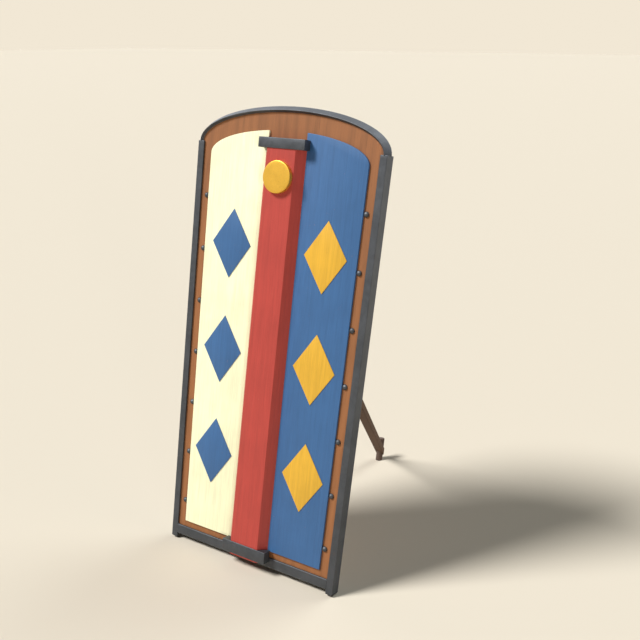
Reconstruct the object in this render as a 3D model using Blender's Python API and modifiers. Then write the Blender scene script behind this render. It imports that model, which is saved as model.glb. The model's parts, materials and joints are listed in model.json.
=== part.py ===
# Pavise: a tall standing shield of painted wood, bound with iron, leaning back on a
# hinged wooden prop. Metres, +Z up, the painted front faces -Y. The floor is z = 0.
#
# The shield's pieces hang on the empty "shield_frame", whose axes are the board's own:
# X is across the board, Y runs up it and Z comes out of its painted front. Z = 0 is the
# front face of the painted fields, and Y = 0 is the lower end of the side rails.

import bpy
import bmesh
from math import acos, atan2, cos, hypot, pi, radians, sin, tan
from mathutils import Vector

# Driving dimensions.
GAP = 0.0003                  # left between pieces that touch

LEAN = radians(11.0)          # the board leans back from upright

RAIL_HALF = 0.2988            # half width over the side rails, at their lower ends
RAIL_HALF_TOP = 0.3186        # and at their upper ends
RAIL_WIDTH = 0.0212           # a side rail, seen from the front
IRON_DEPTH = 0.036            # side and bottom rails, front to back
BOARD_FRONT = -0.006          # the board's front face
BOARD_THICK = 0.024
EDGE_COVER = 0.0066           # from the board's edge to the outside of a rail

ARCH_START = 1.2365           # where the sides end and the arched top begins
BAND_RISE = 0.101             # height of the band's centre line above that
BAND_SIDE = 0.0131            # half width of the band's section, to its sharp corner
BAND_DEPTH = 0.0225           # half depth of the band's section, to its sharp corner
BAND_BITE = 0.0027            # the board's edge lies this far outside that centre line
ARCH_STEPS = 60

BOTTOM_RAIL_LOW = 0.0131
BOTTOM_RAIL_HIGH = 0.0417

FIELD_MARGIN = 0.0508         # from the outside of a side rail to a field's edge
FIELD_LOW = 0.0623
FIELD_ARCH_START = 1.2046
FIELD_RISE = 0.077
FIELD_INNER = 0.0645          # half of the gap between the two fields

RIDGE_FRONT_HALF = 0.0479
RIDGE_BASE_HALF = 0.0685
RIDGE_HIGH = 0.0262           # the ridge's front above the fields
RIDGE_LOW_END = 0.0257
RIDGE_FROM_TOP = 0.0827       # from the arch's crown down to the ridge's top end

CAP_WIDTH = 0.1556
CAP_HEIGHT = 0.0290
CAP_FRONT = 0.0292
CAP_FROM_END = 0.0248         # from the ridge's top end down to the top strap's lower edge
BOTTOM_CAP_LOW = 0.0302
BOTTOM_CAP_HEIGHT = 0.0357

BOSS_RADIUS = 0.0456
BOSS_THICK = 0.0134
BOSS_UP = 1.1516

LOZENGE_FROM_EDGE = 0.0957    # centre of the middle lozenge from its field's edge
LOZENGE_HALF_WIDTH = 0.0694
LOZENGE_HALF_HEIGHT = 0.1015
LOZENGE_THICK = 0.0015
LOZENGE_FIRST = 0.3127        # centre of the lowest pair
LOZENGE_STEP = 0.3170

RIVET_RADIUS = 0.0078
RIVET_COLLAR = 0.0012
RIVET_DOME = 0.0055
RIVET_FIRST = 0.1265
RIVET_STEP = 0.1585

PIVOT_UP = 0.9466             # the prop's hinge, up the board
PIVOT_BACK = 0.052            # and behind the fields' front face
PIN_RADIUS = 0.0040
PIN_HOLE = 0.00408
PIN_HEAD_RADIUS = 0.0066
PIN_HEAD = 0.003
PLATE_WIDTH = 0.070
PLATE_HEIGHT = 0.100
PLATE_THICK = 0.004
PLATE_RISE = 0.005            # centre of the plate above the hinge
LUG_THICK = 0.005
LUG_RADIUS = 0.011
LUG_BASE_HALF = 0.018
NAIL_RADIUS = 0.0045
NAIL_COLLAR = 0.0006
NAIL_HEIGHT = 0.0025
NAIL_FROM_SIDE = 0.008        # a nail's centre from the plate's long edge
NAIL_FROM_END = 0.010

PROP_WIDTH = 0.0315           # at the strut's lower end
PROP_THICK = 0.0180
PROP_TOP_WIDTH = 0.048        # at its upper end
PROP_TOP_THICK = 0.026
PROP_PLAY = 0.0005            # each side of the prop between the bracket's lugs
PROP_LENGTH = 1.0887          # from the hinge to the strut's end, before the foot's cut
PROP_HEAD = 0.040             # more strut above the hinge, which the heel's cut shortens
FOOT_FROM_END = 0.0186        # the foot's centre line crosses the strut's here
FOOT_RISE = 0.0359            # height of that crossing above the floor
FOOT_RADIUS = 0.0120
FOOT_HOLD = 0.0030            # the strut goes on this far behind the foot's centre line
FOOT_ABOVE = 0.0465           # the foot above that crossing
EDGE = 0.0012                 # rounding of the iron's edges

# What follows from them.
BOARD_MIDDLE = BOARD_FRONT - BOARD_THICK / 2
BOARD_BACK = BOARD_FRONT - BOARD_THICK
RIDGE_TOP_END = ARCH_START + BAND_RISE - RIDGE_FROM_TOP
TOP_CAP_LOW = RIDGE_TOP_END - CAP_FROM_END
PLATE_BACK = BOARD_BACK - GAP - PLATE_THICK
FLOOR_RISE = IRON_DEPTH * sin(LEAN)   # the rails stand on their lower back edges
HINGE_RISE = FLOOR_RISE + PIVOT_UP * cos(LEAN) - PIVOT_BACK * sin(LEAN)
FOOT_FROM_HINGE = PROP_LENGTH - FOOT_FROM_END
PROP_SLANT = acos((HINGE_RISE - FOOT_RISE) / FOOT_FROM_HINGE)   # from upright
PROP_OPEN = LEAN + PROP_SLANT         # between the board and the open prop
FRONT_REACH = CAP_FRONT * cos(LEAN) - BOTTOM_CAP_LOW * sin(LEAN)
BACK_REACH = ((PIVOT_UP + FOOT_ABOVE) * sin(LEAN) + (PIVOT_BACK + FOOT_RADIUS) * cos(LEAN)
              + FOOT_FROM_HINGE * sin(PROP_SLANT))

# Clean start.
for old in list(bpy.data.objects):
    bpy.data.objects.remove(old, do_unlink=True)

parts = bpy.data.collections.new("pavise")
cutters = bpy.data.collections.new("cutters")
bpy.context.scene.collection.children.link(parts)
bpy.context.scene.collection.children.link(cutters)


def srgb(red, green, blue):
    """An 8-bit display colour as the linear values that a shader takes."""
    def one(value):
        value /= 255
        return value / 12.92 if value <= 0.04045 else ((value + 0.055) / 1.055) ** 2.4
    return one(red), one(green), one(blue), 1.0


def material(name, colour, roughness, metallic=0.0):
    made = bpy.data.materials.new(name)
    made.use_nodes = True
    shader = made.node_tree.nodes["Principled BSDF"]
    shader.inputs["Base Color"].default_value = colour
    shader.inputs["Roughness"].default_value = roughness
    shader.inputs["Metallic"].default_value = metallic
    made.diffuse_color = colour
    return made


board_wood = material("board_wood", srgb(163, 110, 73), 0.6)
cream_paint = material("cream_paint", srgb(250, 243, 205), 0.55)
blue_paint = material("blue_paint", srgb(81, 118, 162), 0.5)
red_paint = material("red_paint", srgb(200, 86, 76), 0.5)
gold_paint = material("gold_paint", srgb(236, 185, 72), 0.45)
iron = material("iron", srgb(98, 98, 97), 0.5, 0.85)
brass = material("brass", srgb(239, 187, 74), 0.35, 1.0)
dark_wood = material("dark_wood", srgb(91, 71, 53), 0.65)


# Helpers.
def place(obj, parent, at=(0, 0, 0), turn=(0, 0, 0), skin=None, cutter=False):
    """Put an object in its collection, under its parent, with its material."""
    (cutters if cutter else parts).objects.link(obj)
    obj.parent = parent
    obj.location = at
    obj.rotation_euler = turn
    if skin:
        obj.data.materials.append(skin)
    if cutter:
        obj.hide_render = True
        obj.display_type = 'WIRE'
    return obj


def from_bmesh(name, bm):
    mesh = bpy.data.meshes.new(name)
    bm.to_mesh(mesh)
    bm.free()
    return bpy.data.objects.new(name, mesh)


def box(name, size, parent, at, turn=(0, 0, 0), skin=None, cutter=False):
    bm = bmesh.new()
    bmesh.ops.create_cube(bm, size=1.0)
    bmesh.ops.scale(bm, vec=size, verts=bm.verts)
    return place(from_bmesh(name, bm), parent, at, turn, skin, cutter)


def cylinder(name, radius, length, parent, at, turn=(0, 0, 0), skin=None,
             cutter=False, sides=32):
    bm = bmesh.new()
    bmesh.ops.create_cone(bm, cap_ends=True, segments=sides, radius1=radius,
                          radius2=radius, depth=length)
    return place(from_bmesh(name, bm), parent, at, turn, skin, cutter)


def outline(name, points, thick, parent, at=(0, 0, 0), turn=(0, 0, 0), skin=None,
            cutter=False):
    """A flat shape: a filled 2D curve, as thick as asked, centred on its plane."""
    curve = bpy.data.curves.new(name, 'CURVE')
    curve.dimensions = '2D'
    curve.fill_mode = 'BOTH'
    curve.extrude = thick / 2
    spline = curve.splines.new('POLY')
    spline.points.add(len(points) - 1)
    for point, (x, y) in zip(spline.points, points):
        point.co = (x, y, 0, 1)
    spline.use_cyclic_u = True
    return place(bpy.data.objects.new(name, curve), parent, at, turn, skin, cutter)


def turned(name, profile, steps, parent, at, turn=(0, 0, 0), skin=None, cutter=False):
    """A turned shape: (radius, height) points from the top to the bottom, about Z."""
    mesh = bpy.data.meshes.new(name)
    rows = [(radius, 0, height) for radius, height in profile]
    mesh.from_pydata(rows, [(i, i + 1) for i in range(len(rows) - 1)], [])
    obj = place(bpy.data.objects.new(name, mesh), parent, at, turn, skin, cutter)
    screw = obj.modifiers.new("turn", 'SCREW')
    screw.steps = screw.render_steps = steps
    screw.use_merge_vertices = True
    screw.merge_threshold = 0.00002
    screw.use_smooth_shade = True
    return obj


def to_mesh(obj):
    """Turn a curve object into a mesh object of the same name, its caps welded on."""
    bpy.context.view_layer.update()
    graph = bpy.context.evaluated_depsgraph_get()
    mesh = bpy.data.meshes.new_from_object(obj.evaluated_get(graph))
    bm = bmesh.new()
    bm.from_mesh(mesh)
    bmesh.ops.remove_doubles(bm, verts=bm.verts, dist=0.00001)
    bmesh.ops.recalc_face_normals(bm, faces=bm.faces)
    bm.to_mesh(mesh)
    bm.free()
    name, home, parent = obj.name, obj.users_collection[0], obj.parent
    at, turn, hidden = obj.location.copy(), obj.rotation_euler.copy(), obj.hide_render
    bpy.data.objects.remove(obj, do_unlink=True)
    made = bpy.data.objects.new(name, mesh)
    home.objects.link(made)
    made.parent = parent
    made.location = at
    made.rotation_euler = turn
    made.hide_render = hidden
    if hidden:
        made.display_type = 'WIRE'
    return made


def soften(obj, width, segments=2, weld=False):
    """Round the edges of an object, after a weld where it is still a curve."""
    if weld:
        join = obj.modifiers.new("weld", 'WELD')
        join.merge_threshold = 0.00001
    bevel = obj.modifiers.new("edges", 'BEVEL')
    bevel.width = width
    bevel.segments = segments
    bevel.limit_method = 'ANGLE'
    bevel.angle_limit = radians(30)
    return obj


def combine(obj, other, operation='DIFFERENCE'):
    step = obj.modifiers.new(operation.lower() + "_" + other.name, 'BOOLEAN')
    step.operation = operation
    step.solver = 'EXACT'
    step.object = other
    return obj


def smooth(obj, angle=35):
    obj.data.shade_smooth()
    obj.data.set_sharp_from_angle(angle=radians(angle))
    return obj


def rail_half(up):
    return RAIL_HALF + (RAIL_HALF_TOP - RAIL_HALF) * up / ARCH_START


def field_half(up):
    return rail_half(up) - FIELD_MARGIN


def arch(half, rise, start, outward=0.0, first=0, last=ARCH_STEPS):
    """Points on a half ellipse, or a parallel line outside it, from right to left."""
    points = []
    for i in range(first, last + 1):
        facing = pi * i / ARCH_STEPS
        turn = atan2(rise * sin(facing), half * cos(facing))
        points.append((half * cos(turn) + outward * cos(facing),
                       start + rise * sin(turn) + outward * sin(facing)))
    return points


def rounded(points, radii, steps=3):
    """A polygon with each corner replaced by an arc of its own radius."""
    result = []
    count = len(points)
    for i, radius in enumerate(radii):
        here = Vector(points[i])
        back = (Vector(points[i - 1]) - here).normalized()
        ahead = (Vector(points[(i + 1) % count]) - here).normalized()
        if radius <= 0:
            result.append(tuple(here))
            continue
        half = acos(max(-1, min(1, back.dot(ahead)))) / 2
        reach = radius / tan(half)
        centre = here + (back + ahead).normalized() * (radius / sin(half))
        start = here + back * reach - centre
        end = here + ahead * reach - centre
        sweep = start.angle_signed(end)
        for k in range(steps + 1):
            turn = -sweep * k / steps
            result.append((centre.x + start.x * cos(turn) - start.y * sin(turn),
                           centre.y + start.x * sin(turn) + start.y * cos(turn)))
    return result


# The frames that the pieces hang on.
root = bpy.data.objects.new("floor_frame", None)
parts.objects.link(root)
root.location = (0, (FRONT_REACH - BACK_REACH) / 2, FLOOR_RISE)

frame = bpy.data.objects.new("shield_frame", None)
parts.objects.link(frame)
frame.parent = root
frame.rotation_euler = (radians(90) - LEAN, 0, 0)

prop_frame = bpy.data.objects.new("prop_hinge_frame", None)
parts.objects.link(prop_frame)
prop_frame.parent = frame
prop_frame.location = (0, PIVOT_UP, -PIVOT_BACK)
prop_frame.rotation_euler = (PROP_OPEN, 0, 0)

ACROSS = (0, radians(90), 0)          # a cylinder along X
ALONG = (radians(90), 0, 0)           # a section drawn in X and Z, run along the board
SIDEWAYS = (radians(90), 0, radians(90))   # a side view, extruded across the board

# The wooden board.
band_half = rail_half(ARCH_START) - EDGE_COVER - BAND_BITE


def board_outline(grow):
    """The board's edge, or the same edge grown outward for the iron's grooves."""
    low = BOTTOM_RAIL_LOW + EDGE_COVER - grow
    right = [(rail_half(low) - EDGE_COVER + grow, low)]
    top = arch(band_half, BAND_RISE, ARCH_START, BAND_BITE + grow)
    left = [(-rail_half(low) + EDGE_COVER - grow, low)]
    return right + top + left


outline("board", board_outline(0), BOARD_THICK, frame, (0, 0, BOARD_MIDDLE),
        skin=board_wood)
groove = to_mesh(outline("board_groove", board_outline(GAP), BOARD_THICK + 2 * GAP,
                         frame, (0, 0, BOARD_MIDDLE), cutter=True))

# The iron edging: side rails, bottom rail and arched band.
for side, name in ((-1, "left_rail"), (1, "right_rail")):
    top = ARCH_START - GAP
    bar = [(side * rail_half(0), 0), (side * rail_half(top), top),
           (side * (rail_half(top) - RAIL_WIDTH), top),
           (side * (rail_half(0) - RAIL_WIDTH), 0)]
    rail = to_mesh(outline(name, bar, IRON_DEPTH, frame, (0, 0, -IRON_DEPTH / 2),
                           skin=iron))
    combine(soften(rail, EDGE), groove)

low, high = BOTTOM_RAIL_LOW, BOTTOM_RAIL_HIGH
reach = RAIL_WIDTH + GAP
bar = [(-rail_half(low) + reach, low), (rail_half(low) - reach, low),
       (rail_half(high) - reach, high), (-rail_half(high) + reach, high)]
bottom_rail = to_mesh(outline("bottom_rail", bar, IRON_DEPTH, frame,
                              (0, 0, -IRON_DEPTH / 2), skin=iron))
combine(soften(bottom_rail, EDGE), groove)

# The band's section has four sides with rounded corners; its groove takes the board.
section = rounded([(0, BAND_DEPTH), (-BAND_SIDE, 0), (0, -BAND_DEPTH), (BAND_SIDE, 0)],
                  [0.0015, 0, 0.0015, 0.004])
profile = bpy.data.curves.new("band_section", 'CURVE')
profile.dimensions = '2D'
spline = profile.splines.new('POLY')
spline.points.add(len(section) - 1)
for point, (x, y) in zip(spline.points, section):
    point.co = (x, y, 0, 1)
spline.use_cyclic_u = True
band_section = place(bpy.data.objects.new("band_section", profile), frame, cutter=True)

path = bpy.data.curves.new("arch_band", 'CURVE')
path.dimensions = '2D'
path.fill_mode = 'NONE'
spline = path.splines.new('POLY')
line = arch(band_half, BAND_RISE, ARCH_START)
spline.points.add(len(line) - 1)
for point, (x, y) in zip(spline.points, line):
    point.co = (x, y, 0, 1)
path.bevel_mode = 'OBJECT'
path.bevel_object = band_section
path.use_fill_caps = True
band = place(bpy.data.objects.new("arch_band", path), frame, (0, 0, BOARD_MIDDLE),
             skin=iron)
combine(smooth(to_mesh(band)), groove)

# The two painted fields.
for side, name, paint in ((-1, "cream_field", cream_paint), (1, "blue_field", blue_paint)):
    half = field_half(FIELD_ARCH_START)
    quarter = arch(half, FIELD_RISE, FIELD_ARCH_START, 0, 0, ARCH_STEPS // 2)
    edge = [(x, y) for x, y in quarter if x > FIELD_INNER]
    top = FIELD_ARCH_START + FIELD_RISE * (1 - (FIELD_INNER / half) ** 2) ** 0.5
    shape = ([(FIELD_INNER, FIELD_LOW), (field_half(FIELD_LOW), FIELD_LOW)] + edge
             + [(FIELD_INNER, top)])
    thick = -BOARD_FRONT - GAP
    panel = outline(name, [(side * x, y) for x, y in shape], thick, frame,
                    (0, 0, -thick / 2), skin=paint)
    soften(panel, 0.0010, weld=True)

# The red ridge down the middle.
# The rib lies on the fields' inner edges, and its tongue fills the gap between them.
rib = rounded([(-RIDGE_BASE_HALF, GAP), (RIDGE_BASE_HALF, GAP),
               (RIDGE_FRONT_HALF, RIDGE_HIGH), (-RIDGE_FRONT_HALF, RIDGE_HIGH)],
              [0, 0, 0.0025, 0.0025])
ridge_length = RIDGE_TOP_END - RIDGE_LOW_END
ridge_middle = (RIDGE_TOP_END + RIDGE_LOW_END) / 2
ridge = to_mesh(outline("ridge", rib, ridge_length, frame, (0, ridge_middle, 0), ALONG,
                        skin=red_paint))
tongue_low = BOTTOM_RAIL_HIGH + GAP
tongue_high = RIDGE_TOP_END - 0.002
into_rib = 0.002
tongue_deep = into_rib - BOARD_FRONT
tongue = box("ridge_tongue",
             (2 * (FIELD_INNER - GAP), tongue_high - tongue_low, tongue_deep), frame,
             (0, (tongue_high + tongue_low) / 2, BOARD_FRONT + GAP + tongue_deep / 2),
             cutter=True)
combine(smooth(ridge, 25), tongue, 'UNION')

# The straps across its ends fit over the rib with a gap all round.
slope = (RIDGE_BASE_HALF - RIDGE_FRONT_HALF) / (RIDGE_HIGH - GAP)
side_gap = GAP * hypot(1, slope)
top_half = RIDGE_FRONT_HALF + side_gap - slope * GAP
below = 0.003
base_half = RIDGE_BASE_HALF + side_gap + slope * (GAP + below)
rib_gap = [(-base_half, -below), (base_half, -below), (top_half, RIDGE_HIGH + GAP),
           (-top_half, RIDGE_HIGH + GAP)]
rib_space = to_mesh(outline("ridge_space", rib_gap, ridge_length + 2 * GAP, frame,
                            (0, ridge_middle, 0), ALONG, cutter=True))

# The iron straps across the ridge's ends.
for name, lower, high in (("top_cap", TOP_CAP_LOW, CAP_HEIGHT),
                          ("bottom_cap", BOTTOM_CAP_LOW, BOTTOM_CAP_HEIGHT)):
    deep = CAP_FRONT - GAP
    strap = box(name, (CAP_WIDTH, high, deep), frame,
                (0, lower + high / 2, GAP + deep / 2), skin=iron)
    combine(soften(strap, EDGE), rib_space)

# The brass boss.
boss = cylinder("boss", BOSS_RADIUS, BOSS_THICK, frame,
                (0, BOSS_UP, RIDGE_HIGH + GAP + BOSS_THICK / 2), skin=brass, sides=48)
soften(smooth(boss), 0.0022, 3)

# The painted lozenges.
diamond = [(LOZENGE_HALF_WIDTH, 0), (0, LOZENGE_HALF_HEIGHT), (-LOZENGE_HALF_WIDTH, 0),
           (0, -LOZENGE_HALF_HEIGHT)]
lozenge_out = field_half(LOZENGE_FIRST + LOZENGE_STEP) - LOZENGE_FROM_EDGE
for side, name, paint in ((-1, "blue_lozenge", blue_paint), (1, "gold_lozenge", gold_paint)):
    for i in range(3):
        outline(f"{name}_{i + 1}", diamond, LOZENGE_THICK, frame,
                (side * lozenge_out, LOZENGE_FIRST + i * LOZENGE_STEP,
                 GAP + LOZENGE_THICK / 2), skin=paint)


# Rivets and nails.
def dome(radius, collar, rise, rings):
    """A round head: a spherical cap on a low collar, on a flat base at height 0."""
    ball = (radius ** 2 + rise ** 2) / (2 * rise)
    widest = acos((ball - rise) / ball)
    points = [(ball * sin(widest * k / rings),
               collar + rise - ball * (1 - cos(widest * k / rings)))
              for k in range(rings + 1)]
    return points + [(radius, 0), (0, 0)]


for side, name in ((-1, "left_rivet"), (1, "right_rivet")):
    for i in range(7):
        up = RIVET_FIRST + i * RIVET_STEP
        out = field_half(up) + RIVET_RADIUS + GAP
        turned(f"{name}_{i + 1}", dome(RIVET_RADIUS, RIVET_COLLAR, RIVET_DOME, 4), 16,
               frame, (side * out, up, BOARD_FRONT + GAP), skin=iron)

# The prop's hinge, behind the board.
plate_up = PIVOT_UP + PLATE_RISE
bracket = box("hinge_bracket", (PLATE_WIDTH, PLATE_HEIGHT, PLATE_THICK), frame,
              (0, plate_up, PLATE_BACK + PLATE_THICK / 2), skin=iron)
soften(bracket, 0.0010)
into_plate = 0.001
root_depth = PLATE_BACK + PIVOT_BACK + into_plate
tangent = atan2(root_depth, LUG_BASE_HALF)
tangent -= acos(LUG_RADIUS / hypot(root_depth, LUG_BASE_HALF))
lug_shape = [(LUG_BASE_HALF, root_depth)]
for k in range(17):
    turn = tangent + (-pi - 2 * tangent) * k / 16
    lug_shape.append((LUG_RADIUS * cos(turn), LUG_RADIUS * sin(turn)))
lug_shape.append((-LUG_BASE_HALF, root_depth))
lug_out = PROP_TOP_WIDTH / 2 + PROP_PLAY + LUG_THICK / 2
for side, name in ((-1, "left_lug"), (1, "right_lug")):
    lug = to_mesh(outline(name, lug_shape, LUG_THICK, frame,
                          (side * lug_out, PIVOT_UP, -PIVOT_BACK), SIDEWAYS,
                          cutter=True))
    combine(bracket, lug, 'UNION')
pin_hole = cylinder("pin_hole", PIN_HOLE, PLATE_WIDTH, frame, (0, PIVOT_UP, -PIVOT_BACK),
                    ACROSS, cutter=True)
combine(bracket, pin_hole)

grip = lug_out + LUG_THICK / 2 + GAP
pin_shape = [(0, grip + PIN_HEAD), (PIN_HEAD_RADIUS * 0.6, grip + PIN_HEAD * 0.85),
             (PIN_HEAD_RADIUS, grip + PIN_HEAD * 0.4), (PIN_HEAD_RADIUS, grip),
             (PIN_RADIUS, grip), (PIN_RADIUS, -grip), (PIN_HEAD_RADIUS, -grip),
             (PIN_HEAD_RADIUS, -grip - PIN_HEAD * 0.4),
             (PIN_HEAD_RADIUS * 0.6, -grip - PIN_HEAD * 0.85), (0, -grip - PIN_HEAD)]
turned("hinge_pin", pin_shape, 32, frame, (0, PIVOT_UP, -PIVOT_BACK), ACROSS, skin=iron)

nail = dome(NAIL_RADIUS, NAIL_COLLAR, NAIL_HEIGHT, 3)
out = PLATE_WIDTH / 2 - NAIL_FROM_SIDE
up = PLATE_HEIGHT / 2 - NAIL_FROM_END
corners = [(-out, -up), (out, -up), (-out, up), (out, up)]
for i, (x, y) in enumerate(corners):
    turned(f"bracket_nail_{i + 1}", nail, 16, frame,
           (x, plate_up + y, PLATE_BACK - GAP), (radians(180), 0, 0), skin=iron)

# The wooden prop.
# Its top end, the heel, is cut to lie flat on the hinge plate when the prop is open.
strut = box("prop_strut", (PROP_WIDTH, PROP_LENGTH + PROP_HEAD, PROP_THICK), prop_frame,
            (0, (PROP_HEAD - PROP_LENGTH) / 2, 0), skin=dark_wood)
for vertex in strut.data.vertices:
    if vertex.co.y > 0:
        vertex.co.x *= PROP_TOP_WIDTH / PROP_WIDTH
        vertex.co.z *= PROP_TOP_THICK / PROP_THICK
soften(strut, 0.0015)
stop = box("stop_cut", (PLATE_WIDTH, 4 * PROP_HEAD, 2 * PROP_HEAD), frame,
           (0, PIVOT_UP, PLATE_BACK - GAP + PROP_HEAD), cutter=True)
combine(strut, stop)
strut_hole = cylinder("strut_pin_hole", PIN_HOLE, PLATE_WIDTH, prop_frame, (0, 0, 0),
                      ACROSS, cutter=True)
combine(strut, strut_hole)

# The foot runs parallel to the board, and is cut off flat on the floor.
foot_at = (0, -FOOT_FROM_HINGE, 0)
up_the_board = (radians(-90) - PROP_OPEN, 0, 0)
foot_hole = cylinder("foot_hole", FOOT_RADIUS + GAP, 4 * PROP_WIDTH, prop_frame, foot_at,
                     up_the_board, cutter=True)
combine(strut, foot_hole)
# The strut's end is sawn off parallel to the foot, just behind its centre line.
sawn = FOOT_HOLD + 2 * PROP_THICK
end_cut = box("end_cut", (2 * PROP_WIDTH, 4 * PROP_THICK, 4 * PROP_WIDTH), prop_frame,
              (0, -FOOT_FROM_HINGE - sawn * sin(PROP_OPEN), -sawn * cos(PROP_OPEN)),
              up_the_board, cutter=True)
combine(strut, end_cut)
foot_below = FOOT_RISE / cos(LEAN) + 2 * FOOT_RADIUS
foot = cylinder("prop_foot", FOOT_RADIUS, FOOT_ABOVE + foot_below, prop_frame, foot_at,
                up_the_board, skin=iron)
for vertex in foot.data.vertices:
    vertex.co.z += (FOOT_ABOVE - foot_below) / 2
soften(smooth(foot), 0.0020)
floor_cut = box("floor_cut", (4 * FOOT_RADIUS, 3 * BACK_REACH, 4 * FOOT_RADIUS), root,
                (0, 0, -FLOOR_RISE - 2 * FOOT_RADIUS), cutter=True)
combine(foot, floor_cut)
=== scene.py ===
"""Looks of a pavise: a tall standing shield of painted wood, bound with iron.

Metres, +Z up. The shield's own axes are u across the board, v up it and n out of its
painted front; n = 0 is the front of the painted fields.
"""

import json
from math import acos, atan2, cos, pi, radians, sin, tan

import bmesh
import bpy
from bpy.props import FloatProperty, FloatVectorProperty, IntProperty, PointerProperty
from mathutils import Matrix, Vector, noise


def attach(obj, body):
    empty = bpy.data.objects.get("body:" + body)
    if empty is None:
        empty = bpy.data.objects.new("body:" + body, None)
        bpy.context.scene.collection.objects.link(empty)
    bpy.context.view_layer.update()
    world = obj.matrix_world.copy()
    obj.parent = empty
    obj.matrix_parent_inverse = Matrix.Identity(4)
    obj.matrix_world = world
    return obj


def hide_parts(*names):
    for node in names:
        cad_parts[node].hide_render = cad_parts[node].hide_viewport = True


bl_info = {
    "name": "Pavise",
    "version": (1, 0, 0),
    "blender": (4, 5, 0),
    "location": "3D View > Sidebar > Pavise",
    "description": "Finishes a standing shield with painted wood, forged iron and brass",
    "category": "Add Mesh",
}

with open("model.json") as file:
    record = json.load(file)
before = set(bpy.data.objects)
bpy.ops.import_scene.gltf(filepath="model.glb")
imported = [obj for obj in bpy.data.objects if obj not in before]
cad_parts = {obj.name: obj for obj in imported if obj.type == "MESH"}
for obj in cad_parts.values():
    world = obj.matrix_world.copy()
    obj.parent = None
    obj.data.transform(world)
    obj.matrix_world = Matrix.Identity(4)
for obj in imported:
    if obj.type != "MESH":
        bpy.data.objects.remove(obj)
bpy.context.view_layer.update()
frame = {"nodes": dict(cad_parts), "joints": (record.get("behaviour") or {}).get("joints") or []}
HINGE = Vector(frame["joints"][0]["pos_m"])

LEAN = radians(11.0)
PROP_SLANT = radians(33.7)
TURNED_BACK = Matrix.Rotation(radians(90) - LEAN, 4, 'X')
RIVETS = 7
LOZENGES = 3
NAILS = 4

# The wood: a plank's width, and its colour where the paint is chipped.
PLANK = 0.128
BARE_WOOD = (0.36, 0.15, 0.063)

# The size of the hammer's marks on each piece.
RAIL_BLOW = 0.011
BAND_BLOW = 0.012
FOOT_BLOW = 0.008
HEAD_BLOW = 0.0035

# Rounded edges that belong to one piece.
BAND_EDGE = 0.0015
BAND_CREST = 0.004
RIDGE_END_EDGE = 0.0008
BOSS_EDGE = 0.0024
LEAF_EDGE = 0.0004
FOOT_EDGE = 0.0022
END_SHARE = 0.7         # a rail's end is rounded by this share of its long edges

# Small forms of single pieces.
BAND_SHARE = 0.7        # the band has finer steps than the rails
BOSS_CROWN = 0.0004     # how far its middle stands above its edge
HEAD_COLLAR = 0.18      # a head's straight foot, as a share of its height
HEAD_DENT = 0.00025
PIN_HEAD = 0.003
PIN_SHANK = 0.004       # radius
FOOT_SPARE = 0.03       # made below the floor, then cut off
FOOT_STATION = 0.005
TONGUE_SHORT = 0.002    # from the tongue's top to the ridge's top
CURVE_SHORT = 0.001     # from a field's inner side to its arch's last point

# Steps round turned pieces.
BOSS_STEPS = 128
HEAD_STEPS = 36
BAR_STEPS = 48

# Distances that only tell points apart, or keep two faces from falling together.
TINY = 1e-6
SLIVER = 1e-5

# The studio: where each light comes from, how wide it is in degrees, and the camera.
KEY_FROM, KEY_WIDE = (-0.481, -0.456, 0.749), 17
FILL_FROM, FILL_WIDE = (0.766, -0.643, 0.040), 6
RIM_FROM, RIM_WIDE = (0.206, 0.566, 0.799), 28
WHITE = (1, 1, 1)
RIM_TINT = (0.95, 1.0, 1.0)
SKY_TINT = (0.93, 0.95, 1.0)
FLOOR_HALF = 60
FLOOR_DROP = 0.0005
CAMERA_PLACE = (1.4151, -2.2168, 1.5300)
CAMERA_TURN = (radians(71.764), 0, radians(32.597))
CAMERA_ANGLE = radians(40)

# Blender's Mix node has its colour sockets at these places.
MIX_FACTOR, MIX_FIRST, MIX_SECOND = 0, 6, 7
MIX_COLOUR = 2
SHADERS = ('BSDF_PRINCIPLED', 'BACKGROUND')


def box_in(axes, node):
    """The lowest and highest corner of a frame node along other axes."""
    back = axes.inverted()
    points = [back @ vertex.co for vertex in frame["nodes"][node].data.vertices]
    return Vector(map(min, zip(*points))), Vector(map(max, zip(*points)))


def middle(box):
    return (box[0] + box[1]) / 2


RAIL_BOX = box_in(TURNED_BACK, "right_rail")
SHIELD = TURNED_BACK @ Matrix.Translation((0, RAIL_BOX[0].y, RAIL_BOX[1].z))
STRUT = Matrix.Translation(HINGE) @ Matrix.Rotation(radians(90) + PROP_SLANT, 4, 'X')

IRON_DEPTH = RAIL_BOX[1].z - RAIL_BOX[0].z
RAIL_LENGTH = RAIL_BOX[1].y - RAIL_BOX[0].y
BOARD_BOX = box_in(SHIELD, "board")
BOARD_MIDDLE = middle(BOARD_BOX).z
RIDGE_BOX = box_in(SHIELD, "ridge")


# Sizes and colours that a user would change.
def length(name, default, words):
    return FloatProperty(name=name, description=words, default=default, min=0,
                         subtype='DISTANCE', unit='LENGTH', precision=4)


def colour(name, default, words):
    return FloatVectorProperty(name=name, description=words, default=default, size=3,
                               subtype='COLOR', min=0, max=1)


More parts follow.
